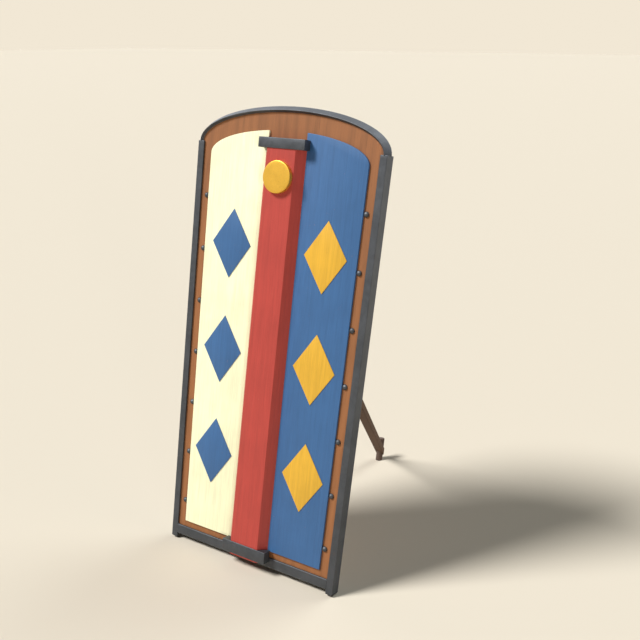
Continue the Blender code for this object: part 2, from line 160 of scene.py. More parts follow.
class PaviseSizes(bpy.types.PropertyGroup):
    rail_half_low: length("Half width below", 0.2988, "Half width over the rails' lower ends")
    rail_half_high: length("Half width above", 0.3186, "Half width over the rails' upper ends")
    rail_width: length("Rail width", 0.0212, "A side rail, seen from the front")
    edge_cover: length("Edge cover", 0.0066, "From the board's edge to the rail's outside")
    field_margin: length("Field margin", 0.0508, "From the rail's outside to the field")
    arch_start: length("Arch start", 1.2365, "Where the arched top begins, up the board")
    band_rise: length("Band rise", 0.101, "Height of the band's centre line above that")
    band_side: length("Band half width", 0.0131, "Half the band's section, across")
    band_depth: length("Band half depth", 0.0225, "Half the band's section, front to back")
    band_bite: length("Band bite", 0.0027, "The board's edge outside that centre line")
    field_arch_start: length("Field arch start", 1.2046, "Where a field's arch begins")
    field_rise: length("Field rise", 0.077, "Height of a field's arch above that")
    field_inner: length("Field gap", 0.0645, "Half of the gap between the two fields")
    ridge_front_half: length("Ridge front", 0.0479, "Half width of the ridge's front")
    iron_edge: length("Iron edge", 0.0012, "Rounding of the iron's edges")
    paint_edge: length("Paint edge", 0.0010, "Rounding of the painted edges")
    ridge_edge: length("Ridge edge", 0.0025, "Rounding of the ridge's front edges")
    gap: length("Gap", 0.0003, "Left between pieces that touch")
    dent: length("Hammer marks", 0.0003, "Depth of the marks on forged iron")
    station: length("Station", 0.0060, "Distance between rings along the forged bars")
    arch_steps: IntProperty(name="Arch steps", description="Rings along the arched band",
                            default=160, min=20, max=400)


class PaviseColours(bpy.types.PropertyGroup):
    cream: colour("Cream", (0.86, 0.84, 0.555), "Paint of the left field")
    blue: colour("Blue", (0.036, 0.114, 0.266), "Paint of the right field and lozenges")
    red: colour("Red", (0.410, 0.047, 0.034), "Paint of the ridge")
    gold: colour("Gold", (0.665, 0.372, 0.031), "Paint of the lozenges on blue")
    brass: colour("Brass", (0.82, 0.474, 0.063), "The boss")
    iron: colour("Iron", (0.080, 0.085, 0.092), "The binding, straps, nails and hinge")
    rust: colour("Rust", (0.094, 0.055, 0.036), "Rust in the iron's hollows and on the foot")
    wood: colour("Board", (0.255, 0.097, 0.031), "The bare board")
    dark_wood: colour("Prop", (0.086, 0.043, 0.020), "The prop")
    floor: colour("Floor", (0.685, 0.618, 0.509), "The floor")
    backdrop: colour("Backdrop", (0.887, 0.805, 0.665), "What is seen beyond the floor")


class PaviseLight(bpy.types.PropertyGroup):
    key: FloatProperty(name="Key", description="Strength of the main light",
                       default=4.26, min=0)
    fill: FloatProperty(name="Fill", description="Strength of the light from the front",
                        default=0.9, min=0)
    rim: FloatProperty(name="Rim", description="Strength of the light from behind",
                       default=1.0, min=0)
    ambient: FloatProperty(name="Ambient", description="Strength of the even light",
                           default=0.008, min=0)
    before: FloatProperty(name="Mirror before", default=0.30, min=0,
                          description="What metal mirrors from the front of the studio")
    behind: FloatProperty(name="Mirror behind", default=2.2, min=0,
                          description="What metal mirrors from behind the shield")
    overhead: FloatProperty(name="Overhead mirror", default=1.4, min=0,
                            description="What metal mirrors from above")


# Node trees, written as expressions.
class Value:
    """A number that varies over a surface. Arithmetic on it adds Math nodes."""

    def __init__(self, sheet, socket):
        self.sheet = sheet
        self.socket = socket

    def maths(self, operation, *values):
        return self.sheet.node('ShaderNodeMath', {"operation": operation}, values)

    def __add__(self, other):
        return self.maths('ADD', self, other)

    def __radd__(self, other):
        return self.maths('ADD', other, self)

    def __sub__(self, other):
        return self.maths('SUBTRACT', self, other)

    def __rsub__(self, other):
        return self.maths('SUBTRACT', other, self)

    def __mul__(self, other):
        return self.maths('MULTIPLY', self, other)

    def __rmul__(self, other):
        return self.maths('MULTIPLY', other, self)

    def __truediv__(self, other):
        return self.maths('DIVIDE', self, other)

    def __pow__(self, other):
        return self.maths('POWER', self, other)

    def __abs__(self):
        return self.maths('ABSOLUTE', self)

    def floor(self):
        return self.maths('FLOOR', self)

    def larger(self, other):
        return self.maths('MAXIMUM', self, other)


class Sheet:
    """A material's or a world's node tree."""

    def __init__(self, owner):
        owner.use_nodes = True
        self.tree = owner.node_tree
        self.end = next(node for node in self.tree.nodes if node.type in SHADERS)

    def node(self, kind, settings=None, inputs=(), output=0):
        """Adds a node: its settings first, then its sockets' values or links."""
        made = self.tree.nodes.new(kind)
        for name, value in (settings or {}).items():
            setattr(made, name, value)
        pairs = inputs.items() if isinstance(inputs, dict) else enumerate(inputs)
        for name, value in pairs:
            self.put(made.inputs[name], value)
        return Value(self, made.outputs[output])

    def put(self, socket, value):
        if isinstance(value, Value):
            self.tree.links.new(value.socket, socket)
        else:
            socket.default_value = value

    def finish(self, **inputs):
        """Sets the sockets of the shader at the end of the tree."""
        for name, value in inputs.items():
            self.put(self.end.inputs[name.replace("_", " ")], value)

    def within(self, axes):
        """Place on the surface along the axes of the shield or of the prop."""
        here = self.node('ShaderNodeTexCoord', output="Object")
        return self.node('ShaderNodeMapping', {"vector_type": 'TEXTURE'},
                         {"Vector": here, "Location": axes.to_translation(),
                          "Rotation": axes.to_euler()})

    def split(self, vector):
        return [self.node('ShaderNodeSeparateXYZ', inputs=[vector], output=i)
                for i in range(3)]

    def stretch(self, vector, scale, shift=(0, 0, 0)):
        return self.node('ShaderNodeMapping', {"vector_type": 'POINT'},
                         {"Vector": vector, "Scale": scale, "Location": shift})

    def noise(self, vector, scale=1.0, detail=2.0, roughness=0.5):
        return self.node('ShaderNodeTexNoise', inputs={
            "Vector": vector, "Scale": scale, "Detail": detail, "Roughness": roughness})

    def ramp(self, value, low, high, start=0.0, end=1.0):
        """Runs smoothly from start to end while the value runs from low to high."""
        return self.node('ShaderNodeMapRange', {"interpolation_type": 'SMOOTHSTEP'}, {
            "Value": value, "From Min": low, "From Max": high, "To Min": start,
            "To Max": end})

    def mix(self, factor, first, second):
        """Blends two colours."""
        def whole(shade):
            return shade if isinstance(shade, Value) else (*tuple(shade)[:3], 1)
        return self.node('ShaderNodeMix', {"data_type": 'RGBA'},
                         {MIX_FACTOR: factor, MIX_FIRST: whole(first),
                          MIX_SECOND: whole(second)}, output=MIX_COLOUR)

    def edges(self, reach, start, full):
        """1 along the piece's edges, within reach of them, and 0 on its faces."""
        blunt = self.node('ShaderNodeBevel', {"samples": 6}, {"Radius": reach})
        true = self.node('ShaderNodeNewGeometry', output="Normal")
        agree = self.node('ShaderNodeVectorMath', {"operation": 'DOT_PRODUCT'},
                          [blunt, true], output="Value")
        return self.ramp(agree, start, full)

    def bump(self, height, distance, strength):
        return self.node('ShaderNodeBump', inputs={
            "Strength": strength, "Distance": distance, "Height": height})


def skin(name, paint):
    """The material of that name, made by its function the first time it is asked for."""
    name = "finished_" + name
    found = bpy.data.materials.get(name)
    if found:
        return found
    made = bpy.data.materials.new(name)
    paint(Sheet(made))
    return made


def darker(shade, share):
    return tuple(channel * share for channel in tuple(shade)[:3])


# The finishes.
def painted_wood(sheet, shade, seed, rough):
    """Brushed matt paint: strokes up the board, clouds, faint grain, chips, worn edges."""
    place = sheet.within(SHIELD)
    strokes = sheet.noise(sheet.stretch(place, (330, 11, 330), (seed, seed, 0)), detail=3)
    grain = sheet.noise(sheet.stretch(place, (85, 1.9, 85), (0, seed, seed)), detail=5,
                        roughness=0.65)
    clouds = sheet.noise(place, 6, 4, 0.6)
    tone = 0.36 * strokes + 0.30 * grain + 0.34 * clouds
    coat = sheet.mix(sheet.ramp(tone, 0.36, 0.64), darker(shade, 0.86), darker(shade, 1.08))
    flecks = sheet.noise(sheet.stretch(place, (420, 170, 420), (seed, 0, 0)), detail=3)
    rubbed = sheet.noise(place, 19, 3)
    chips = sheet.ramp(flecks, 0.69, 0.72) * sheet.ramp(rubbed, 0.54, 0.64)
    worn = sheet.edges(0.0022, 0.985, 0.90) * sheet.ramp(flecks, 0.50, 0.62)
    chips = (chips * 0.8).larger(worn * 0.65)
    sheet.finish(Base_Color=sheet.mix(chips, coat, BARE_WOOD),
                 Roughness=rough - 0.06 + 0.12 * strokes + 0.15 * chips,
                 Normal=sheet.bump(0.6 * strokes + 0.6 * grain - 0.5 * chips, 0.0005, 0.8))


def brown_board(sheet, shade):
    """Planed wood: long grain with pores, and plank joints on the back."""
    place = sheet.within(SHIELD)
    wander = sheet.noise(sheet.stretch(place, (5, 0.9, 5)), detail=3)
    across, up, out = sheet.split(place)
    back = sheet.ramp(out, BOARD_MIDDLE + 0.002, BOARD_MIDDLE - 0.002)
    cell = (across + 10 * PLANK) / PLANK
    which = cell.floor()
    seam = abs(cell - which - 0.5)
    joint = sheet.ramp(seam, 0.4935, 0.4975) * back
    tint = sheet.node('ShaderNodeTexWhiteNoise', {"noise_dimensions": '1D'},
                      {"W": which}) * back
    rings = across * 26 + wander * 7 + tint * 9 + up * 0.3
    bands = sheet.ramp(abs(rings - rings.floor() - 0.5), 0.0, 0.5)
    fibres = sheet.noise(sheet.stretch(place, (420, 7, 420)), detail=3, roughness=0.65)
    pores = sheet.ramp(sheet.noise(sheet.stretch(place, (900, 22, 900)), detail=1), 0.62, 0.72)
    streaks = sheet.noise(sheet.stretch(place, (30, 2.5, 30)), detail=3)
    tone = 0.5 * fibres + 0.16 * bands + 0.34 * streaks - 0.12 * tint
    wood = sheet.mix(sheet.ramp(tone, 0.28, 0.68), darker(shade, 0.82), darker(shade, 1.13))
    wood = sheet.mix(pores * 0.35, wood, darker(shade, 0.45))
    wood = sheet.mix(joint, wood, darker(shade, 0.18))
    sheet.finish(Base_Color=wood, Roughness=0.56 + 0.14 * fibres,
                 Normal=sheet.bump(0.5 * fibres - 0.4 * pores - 2.5 * joint, 0.0004, 0.6))


def dark_prop(sheet, shade):
    """Riven dark wood, its grain running down the strut."""
    place = sheet.within(STRUT)
    fibres = sheet.noise(sheet.stretch(place, (380, 8, 380)), detail=3, roughness=0.65)
    streaks = sheet.noise(sheet.stretch(place, (90, 2.5, 90)), detail=3)
    handled = sheet.noise(place, 14, 2)
    tone = 0.4 * fibres + 0.4 * streaks + 0.2 * handled
    sheet.finish(Base_Color=sheet.mix(sheet.ramp(tone, 0.3, 0.7), darker(shade, 0.72),
                                      darker(shade, 1.25)),
                 Roughness=0.58 + 0.14 * fibres,
                 Normal=sheet.bump(0.6 * fibres + 0.6 * streaks, 0.0005, 0.6))


def forged_iron(sheet, shade, rusty=0.0):
    """Dull forged iron: patches of scale, hammer marks, spots of rust, and edges lightened both
    as worn metal and as a painted highlight.
    """
    place = sheet.node('ShaderNodeTexCoord', output="Object")
    blows = sheet.node('ShaderNodeTexVoronoi', {"feature": 'SMOOTH_F1'}, {
        "Vector": place, "Scale": 62, "Smoothness": 0.6})
    scale_marks = sheet.noise(place, 90, 4, 0.6)
    speckle = sheet.noise(place, 620, 2)
    patches = sheet.noise(place, 16, 3, 0.55)
    tone = 0.5 * patches + 0.3 * scale_marks + 0.2 * speckle
    metal = sheet.mix(sheet.ramp(tone, 0.34, 0.66), darker(shade, 0.86), darker(shade, 1.16))
    rust = sheet.ramp(sheet.noise(place, 34, 4, 0.6), 0.62 - 0.5 * rusty, 0.78 - 0.5 * rusty)
    rust = rust * (0.4 + 0.5 * rusty)
    metal = sheet.mix(rust, metal, bpy.context.scene.pavise_colours.rust)
    # Painted highlight: every edge is lightened here. This is partly metal worn bright, and
    # partly a stand-in for the highlights that light draws along the edges.
    worn_edge_and_highlight = sheet.edges(0.0025, 0.99, 0.93) * sheet.ramp(patches, 0.35, 0.55)
    metal = sheet.mix(worn_edge_and_highlight * 0.5, metal, darker(shade, 2.2))
    sheet.finish(Base_Color=metal,
                 Roughness=0.42 + 0.2 * scale_marks + 0.25 * rust - 0.08 * worn_edge_and_highlight,
                 Metallic=0.75 - 0.6 * rust,
                 Normal=sheet.bump(0.8 * blows + 0.3 * scale_marks, 0.0010, 0.6))


def cast_brass(sheet, shade):
    """Satin brass: turning marks round the boss, faint tarnish and scratches."""
    place = sheet.within(SHIELD)
    centre = middle(box_in(SHIELD, "boss"))
    across, up, out = sheet.split(place)
    reach = ((across - centre.x) ** 2 + (up - centre.y) ** 2) ** 0.5
    rings = sheet.noise(sheet.node('ShaderNodeCombineXYZ', inputs=[reach * 900, 0, 0]),
                        detail=2)
    tarnish = sheet.noise(place, 28, 4, 0.6)
    spots = sheet.ramp(sheet.noise(place, 190, 2), 0.66, 0.76)
    tone = sheet.ramp(tarnish, 0.35, 0.7)
    metal = sheet.mix(tone, darker(shade, 1.08), darker(shade, 0.86))
    metal = sheet.mix(spots * 0.4, metal, darker(shade, 0.5))
    sheet.finish(Base_Color=metal, Roughness=0.34 + 0.14 * tone + 0.08 * rings,
                 Metallic=0.8, Normal=sheet.bump(rings + 0.6 * tarnish, 0.00012, 0.5))


def cream_paint(sheet):
    painted_wood(sheet, bpy.context.scene.pavise_colours.cream, 1.7, 0.55)


def blue_paint(sheet):
    painted_wood(sheet, bpy.context.scene.pavise_colours.blue, 4.1, 0.5)


def red_paint(sheet):
    painted_wood(sheet, bpy.context.scene.pavise_colours.red, 7.9, 0.5)


def gold_paint(sheet):
    painted_wood(sheet, bpy.context.scene.pavise_colours.gold, 2.6, 0.46)


def board_wood(sheet):
    brown_board(sheet, bpy.context.scene.pavise_colours.wood)


def dark_wood(sheet):
    dark_prop(sheet, bpy.context.scene.pavise_colours.dark_wood)


def iron(sheet):
    forged_iron(sheet, bpy.context.scene.pavise_colours.iron)


def rusty_iron(sheet):
    forged_iron(sheet, bpy.context.scene.pavise_colours.iron, 1.0)


def brass(sheet):
    cast_brass(sheet, bpy.context.scene.pavise_colours.brass)


# Shapes.
def dressed(bm, name, finish, nodes, body="shield", axes=SHIELD, sharp=35):
    """Makes the mesh an object that rides on a body and stands for frame nodes."""
    bmesh.ops.recalc_face_normals(bm, faces=bm.faces)
    mesh = bpy.data.meshes.new(name)
    bm.to_mesh(mesh)
    bm.free()
    mesh.transform(axes)
    mesh.shade_smooth()
    mesh.set_sharp_from_angle(angle=radians(sharp))
    obj = bpy.data.objects.new(name, mesh)
    bpy.context.scene.collection.objects.link(obj)
    mesh.materials.append(skin(finish.__name__, finish))
    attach(obj, body)
    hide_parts(*nodes)


def reskin(node, finish):
    """Gives a frame node that is kept its material."""
    obj = frame["nodes"][node]
    obj.data.materials.clear()
    obj.data.materials.append(skin(finish.__name__, finish))


def rounded(points, radii, steps=4):
    """A polygon with each corner replaced by an arc of its own radius."""
    result = []
    for i, radius in enumerate(radii):
        here = Vector(points[i])
        back = (Vector(points[i - 1]) - here).normalized()
        ahead = (Vector(points[(i + 1) % len(points)]) - here).normalized()
        if radius <= 0:
            result.append(here)
            continue
        half = acos(max(-1, min(1, back.dot(ahead)))) / 2
        centre = here + (back + ahead).normalized() * (radius / sin(half))
        start = here + back * (radius / tan(half)) - centre
        end = here + ahead * (radius / tan(half)) - centre
        sweep = start.angle_signed(end)
        for k in range(steps + 1):
            turn = -sweep * k / steps
            result.append(centre + Vector((start.x * cos(turn) - start.y * sin(turn),
                                           start.x * sin(turn) + start.y * cos(turn))))
    return result


def densify(points, step):
    """The same closed outline, with points added along its long sides."""
    result = []
    for here, there in zip(points, points[1:] + points[:1]):
        parts = max(1, round((there - here).length / step))
        result += [here.lerp(there, k / parts) for k in range(parts)]
    return result


def evenly(low, high, step):
    parts = max(1, round((high - low) / step))
    return [low + (high - low) * k / parts for k in range(parts + 1)]


def loft(rings, edge=0.0):
    """A closed bar through rings of points, with rounded edges round its two ends."""
    bm = bmesh.new()
    rows = [[bm.verts.new(point) for point in ring] for ring in rings]
    for here, there in zip(rows, rows[1:]):
        for i in range(len(here)):
            bm.faces.new((here[i - 1], here[i], there[i], there[i - 1]))
    ends = [bm.faces.new(rows[0]), bm.faces.new(rows[-1])]
    if edge:
        round_off(bm, {line for face in ends for line in face.edges}, edge)
    return bm


def round_off(bm, lines, edge):
    bmesh.ops.bevel(bm, geom=list(lines), offset=edge, segments=3, profile=0.5,
                    affect='EDGES', clamp_overlap=True)


def dent(bm, depth, size, seed):
    """Presses shallow hammer marks into the surface."""
    bm.normal_update()
    shift = Vector((seed, seed * 1.7, -seed))
    for vertex in bm.verts:
        blow = noise.noise(vertex.co / size + shift) * 0.5 + 0.5
        vertex.co -= vertex.normal * depth * blow


def extruded(points, low, high, along='n'):
    """A flat outline made solid between two heights."""
    bm = bmesh.new()
    if along == 'n':
        corners = [(point[0], point[1], low) for point in points]
        move = (0, 0, high - low)
    else:
        corners = [(point[0], low, point[1]) for point in points]
        move = (0, high - low, 0)
    face = bm.faces.new([bm.verts.new(corner) for corner in corners])
    grown = bmesh.ops.extrude_face_region(bm, geom=[face])["geom"]
    bmesh.ops.translate(bm, vec=move,
                        verts=[part for part in grown if isinstance(part, bmesh.types.BMVert)])
    bmesh.ops.recalc_face_normals(bm, faces=bm.faces)
    return bm


def turned(profile, steps):
    """A turned shape about n: (radius, height) points from the top to the bottom."""
    bm = bmesh.new()
    rows = []
    for radius, height in profile:
        if radius < TINY:
            rows.append([bm.verts.new((0, 0, height))] * steps)
        else:
            rows.append([bm.verts.new((radius * cos(2 * pi * k / steps),
                                       radius * sin(2 * pi * k / steps), height))
                         for k in range(steps)])
    for here, there in zip(rows, rows[1:]):
        for i in range(steps):
            corners = (here[i - 1], here[i], there[i], there[i - 1])
            bm.faces.new(list(dict.fromkeys(corners)))
    return bm


def shoulder(radius, top, edge, steps):
    """A quarter round from a flat top over to the side, as (radius, height) points."""
    turns = [pi / 2 * k / steps for k in range(steps + 1)]
    return [(radius - edge + edge * sin(turn), top - edge + edge * cos(turn))
            for turn in turns]


def arch(half, rise, start, steps, outward=0.0):
    """Points on a half ellipse, or a parallel line outside it, from right to left."""
    points = []
    for i in range(steps + 1):
        facing = pi * i / steps
        turn = atan2(rise * sin(facing), half * cos(facing))
        points.append(Vector((half * cos(turn) + outward * cos(facing),
                              start + rise * sin(turn) + outward * sin(facing))))
    return points


def rail_half(sizes, up):
    grow = (sizes.rail_half_high - sizes.rail_half_low) / sizes.arch_start
    return sizes.rail_half_low + grow * up


# The pieces.
class PAVISE_OT_board(bpy.types.Operator):
    """Finish the bare wooden board, the prop's strut and the hinge plate"""
    bl_idname = "pavise.board"
    bl_label = "Board, Prop and Hinge"

    def execute(self, context):
        reskin("board", board_wood)
        reskin("prop_strut", dark_wood)
        reskin("hinge_bracket", iron)
        return {'FINISHED'}


class PAVISE_OT_rails(bpy.types.Operator):
    """Forge the side rails and the bottom rail, grooved for the board's edge"""
    bl_idname = "pavise.rails"
    bl_label = "Iron Rails"

    def channel(self, sizes, wide):
        """A rail's section: (inward from the outside, n), grooved for the board."""
        slot = sizes.edge_cover - sizes.gap
        front = BOARD_BOX[1].z + sizes.gap
        back = BOARD_BOX[0].z - sizes.gap
        edge = sizes.iron_edge
        corners = [(0, 0), (wide, 0), (wide, front), (slot, front), (slot, back),
                   (wide, back), (wide, -IRON_DEPTH), (0, -IRON_DEPTH)]
        radii = [edge, edge, 0, 0, 0, 0, edge, edge]
        return densify(rounded(corners, radii), sizes.station)

    def execute(self, context):
        sizes = context.scene.pavise_sizes
        section = self.channel(sizes, sizes.rail_width)
        for side, name in ((-1, "left_rail"), (1, "right_rail")):
            rings = [[(side * (rail_half(sizes, up) - inward), up, out)
                      for inward, out in section]
                     for up in evenly(0, RAIL_LENGTH, sizes.station)]
            bm = loft(rings, sizes.iron_edge * END_SHARE)
            dent(bm, sizes.dent, RAIL_BLOW, side)
            dressed(bm, name + "_binding", iron, [name])
        low, high = box_in(SHIELD, "bottom_rail")
        section = self.channel(sizes, high.y - low.y)
        rings = []
        for across in evenly(-1, 1, sizes.station / high.x):
            ring = []
            for inward, out in section:
                up = low.y + inward
                reach = rail_half(sizes, up) - sizes.rail_width - sizes.gap
                ring.append((across * reach, up, out))
            rings.append(ring)
        bm = loft(rings, sizes.iron_edge * END_SHARE)
        dent(bm, sizes.dent, RAIL_BLOW, 5)
        dressed(bm, "bottom_rail_binding", iron, ["bottom_rail"])
        return {'FINISHED'}


class PAVISE_OT_arch(bpy.types.Operator):
    """Forge the band round the arched top, with a raised line along its middle"""
    bl_idname = "pavise.arch"
    bl_label = "Arched Band"

    def execute(self, context):
        sizes = context.scene.pavise_sizes
        half = rail_half(sizes, sizes.arch_start) - sizes.edge_cover - sizes.band_bite
        side, deep = sizes.band_side, sizes.band_depth
        lip = (BOARD_BOX[1].z - BOARD_BOX[0].z) / 2 + sizes.gap
        bite = sizes.band_bite + sizes.gap
        inner = -side * (1 - lip / deep)
        corners = [(0, deep), (side, 0), (0, -deep), (inner, -lip), (bite, -lip),
                   (bite, lip), (inner, lip)]
        radii = [BAND_EDGE, BAND_CREST, BAND_EDGE, 0, 0, 0, 0]
        section = densify(rounded(corners, radii), sizes.station * BAND_SHARE)
        lines = [(out, arch(half, sizes.band_rise, sizes.arch_start, sizes.arch_steps,
                            outward)) for outward, out in section]
        rings = [[(line[i].x, line[i].y, BOARD_MIDDLE + out) for out, line in lines]
                 for i in range(sizes.arch_steps + 1)]
        bm = loft(rings)
        dent(bm, sizes.dent, BAND_BLOW, 9)
        dressed(bm, "arch_binding", iron, ["arch_band"])
        return {'FINISHED'}


class PAVISE_OT_fields(bpy.types.Operator):
    """Lay the cream and the blue field on the board"""
    bl_idname = "pavise.fields"
    bl_label = "Painted Fields"

    def execute(self, context):
        sizes = context.scene.pavise_sizes
        low, high = box_in(SHIELD, "blue_field")
        start, rise, inner = sizes.field_arch_start, sizes.field_rise, sizes.field_inner
        half = rail_half(sizes, start) - sizes.field_margin
        top = start + rise * (1 - (inner / half) ** 2) ** 0.5
        curve = [point for point in arch(half, rise, start, sizes.arch_steps)
                 if point.x > inner + CURVE_SHORT]
        base = rail_half(sizes, low.y) - sizes.field_margin
        outline = [(inner, low.y), (base, low.y), *curve, (inner, top)]
        for side, name, finish in ((-1, "cream_field", cream_paint),
                                   (1, "blue_field", blue_paint)):
            bm = extruded([(side * x, y) for x, y in outline], low.z, high.z)
            front = [line for line in bm.edges
                     if all(abs(vertex.co.z - high.z) < TINY for vertex in line.verts)]
            round_off(bm, front, sizes.paint_edge)
            dressed(bm, name + "_panel", finish, [name])
        return {'FINISHED'}


class PAVISE_OT_ridge(bpy.types.Operator):
    """Set the red ridge down the middle, with its tongue between the fields"""
    bl_idname = "pavise.ridge"
    bl_label = "Red Ridge"

    def execute(self, context):
        sizes = context.scene.pavise_sizes
        low, high = RIDGE_BOX
        wide, front = high.x, sizes.ridge_front_half
        under = sizes.gap
        tongue = sizes.field_inner - sizes.gap
        tongue_low = box_in(SHIELD, "bottom_rail")[1].y + sizes.gap
        tongue_high = high.y - TONGUE_SHORT
        rib = rounded([(wide, under), (front, high.z), (-front, high.z), (-wide, under)],
                      [0, sizes.ridge_edge, sizes.ridge_edge, 0], 6)
        stations = [(low.y, under), (tongue_low, under), (tongue_low, low.z),
                    (tongue_high, low.z), (tongue_high, under), (high.y, under)]
        rings = []
        for up, foot in stations:
            ring = [*rib, (-tongue, under), (-tongue, foot - SLIVER),
                    (tongue, foot - SLIVER), (tongue, under)]
            rings.append([(x, up, out) for x, out in ring])
        bm = loft(rings, RIDGE_END_EDGE)
        dressed(bm, "ridge_rib", red_paint, ["ridge"], sharp=25)
        return {'FINISHED'}


class PAVISE_OT_straps(bpy.types.Operator):
    """Forge the straps that hold the ridge's two ends"""
    bl_idname = "pavise.straps"
    bl_label = "Iron Straps"

    def execute(self, context):
        sizes = context.scene.pavise_sizes
        slope = (RIDGE_BOX[1].x - sizes.ridge_front_half) / (RIDGE_BOX[1].z - sizes.gap)
        clear = 2 * sizes.gap
        for name in ("top_cap", "bottom_cap"):
            low, high = box_in(SHIELD, name)
            over = RIDGE_BOX[1].z + sizes.gap
            top = sizes.ridge_front_half + clear
            base = top + slope * (over - low.z)
            section = [(low.x, low.z), (-base, low.z), (-top, over), (top, over),
                       (base, low.z), (high.x, low.z), (high.x, high.z), (low.x, high.z)]
            bm = extruded(section, low.y, high.y, 'v')
            outer = [line for line in bm.edges if self.is_outer(line, high)]
            round_off(bm, outer, sizes.iron_edge)
            dressed(bm, name + "_strap", iron, [name])
        return {'FINISHED'}

    def is_outer(self, line, high):
        """True for an edge of the strap's own box, not of the space for the ridge."""
        ends = [vertex.co for vertex in line.verts]
        sides = [abs(end.x) > high.x - SLIVER for end in ends]
        front = [end.z > high.z - SLIVER for end in ends]
        return all(sides) or all(front)


class PAVISE_OT_boss(bpy.types.Operator):
    """Turn the brass boss on the ridge"""
    bl_idname = "pavise.boss"
    bl_label = "Brass Boss"

    def execute(self, context):
        low, high = box_in(SHIELD, "boss")
        centre = middle((low, high))
        radius = (high.x - low.x) / 2
        thick = high.z - low.z
        rings = 4
        profile = [((radius - BOSS_EDGE) * k / rings, thick - BOSS_CROWN * (k / rings) ** 2)
                   for k in range(rings + 1)]
        profile += shoulder(radius, thick - BOSS_CROWN, BOSS_EDGE, 6)[1:]
        profile += [(radius, 0), (0, 0)]
        bm = turned(profile, BOSS_STEPS)
        bmesh.ops.translate(bm, vec=(centre.x, centre.y, low.z), verts=bm.verts)
        dressed(bm, "boss_disc", brass, ["boss"])
        return {'FINISHED'}


class PAVISE_OT_lozenges(bpy.types.Operator):
    """Lay the lozenges on the two fields"""
    bl_idname = "pavise.lozenges"
    bl_label = "Lozenges"

    def execute(self, context):
        for name, finish in (("blue_lozenge", blue_paint), ("gold_lozenge", gold_paint)):
            for i in range(LOZENGES):
                node = f"{name}_{i + 1}"
                low, high = box_in(SHIELD, node)
                centre = middle((low, high))
                points = [(high.x, centre.y), (centre.x, high.y), (low.x, centre.y),
                          (centre.x, low.y)]
                bm = extruded(points, low.z, high.z)
                front = [line for line in bm.edges
                         if all(vertex.co.z > high.z - TINY for vertex in line.verts)]
                round_off(bm, front, LEAF_EDGE)
                dressed(bm, node + "_leaf", finish, [node])
        return {'FINISHED'}


class PAVISE_OT_rivets(bpy.types.Operator):
    """Forge the rivets down the fields' edges, and the hinge plate's nails and pin"""
    bl_idname = "pavise.rivets"
    bl_label = "Rivets, Nails and Pin"

    def head(self, node, seed, out=1):
        """A hammered round head in the frame node's place; out is -1 on the back."""
        low, high = box_in(SHIELD, node)
        centre = middle((low, high))
        radius = (high.x - low.x) / 2
        tall = high.z - low.z
        rise = tall - tall * HEAD_COLLAR
        ball = (radius ** 2 + rise ** 2) / (2 * rise)
        widest = acos((ball - rise) / ball)
        rings = 9
        profile = [(ball * sin(widest * k / rings),
                    tall - ball * (1 - cos(widest * k / rings))) for k in range(rings + 1)]
        bm = turned(profile + [(radius, 0), (0, 0)], HEAD_STEPS)
        bm.normal_update()
        for vertex in bm.verts:
            blow = noise.noise(vertex.co / HEAD_BLOW + Vector((seed, 0, seed)))
            vertex.co -= vertex.normal * (HEAD_DENT + HEAD_DENT * blow)
            vertex.co.z *= out
        base = low.z if out > 0 else high.z
        bmesh.ops.translate(bm, vec=(centre.x, centre.y, base), verts=bm.verts)
        dressed(bm, node + "_head", iron, [node], sharp=60)

    def execute(self, context):
        for side in ("left", "right"):
            for i in range(RIVETS):
                self.head(f"{side}_rivet_{i + 1}", 3.1 * i + len(side))
        for i in range(NAILS):
            self.head(f"bracket_nail_{i + 1}", 20.3 + i, -1)
        low, high = box_in(SHIELD, "hinge_pin")
        centre = middle((low, high))
        half = (high.x - low.x) / 2
        radius = (high.y - low.y) / 2
        neck = half - PIN_HEAD
        side = [(0, half), (radius * 0.45, half - PIN_HEAD * 0.06),
                (radius * 0.78, half - PIN_HEAD * 0.3),
                (radius * 0.97, half - PIN_HEAD * 0.62), (radius, neck), (PIN_SHANK, neck)]
        profile = side + [(reach, -height) for reach, height in reversed(side)]
        bm = turned(profile, BAR_STEPS)
        bmesh.ops.rotate(bm, cent=(0, 0, 0), matrix=Matrix.Rotation(pi / 2, 3, 'Y'),
                         verts=bm.verts)
        bmesh.ops.translate(bm, vec=centre, verts=bm.verts)
        dressed(bm, "hinge_pin_shaft", iron, ["hinge_pin"], sharp=50)
        return {'FINISHED'}


class PAVISE_OT_foot(bpy.types.Operator):
    """Forge the prop's round foot, cut off flat on the floor"""
    bl_idname = "pavise.foot"
    bl_label = "Prop's Foot"

    def execute(self, context):
        low, high = box_in(SHIELD, "prop_foot")
        radius = (high.x - low.x) / 2
        bottom = low.y - FOOT_SPARE
        profile = [(0, high.y), *shoulder(radius, high.y, FOOT_EDGE, 5)]
        profile += [(radius, up)
                    for up in evenly(high.y - 2 * FOOT_EDGE, bottom, FOOT_STATION)]
        profile += [(0, bottom)]
        bm = turned(profile, BAR_STEPS)
        dent(bm, context.scene.pavise_sizes.dent, FOOT_BLOW, 4)
        bmesh.ops.rotate(bm, cent=(0, 0, 0), matrix=Matrix.Rotation(-pi / 2, 3, 'X'),
                         verts=bm.verts)
        bmesh.ops.translate(bm, vec=(0, 0, high.z - radius), verts=bm.verts)
        bm.transform(SHIELD)
        cut = bmesh.ops.bisect_plane(bm, geom=bm.verts[:] + bm.edges[:] + bm.faces[:],
                                     plane_co=(0, 0, 0), plane_no=(0, 0, 1),
                                     clear_inner=True)["geom_cut"]
        rim = [line for line in cut if isinstance(line, bmesh.types.BMEdge)]
        bmesh.ops.contextual_create(bm, geom=rim)
        dressed(bm, "prop_foot_peg", rusty_iron, ["prop_foot"], "prop", Matrix(), 50)
        return {'FINISHED'}


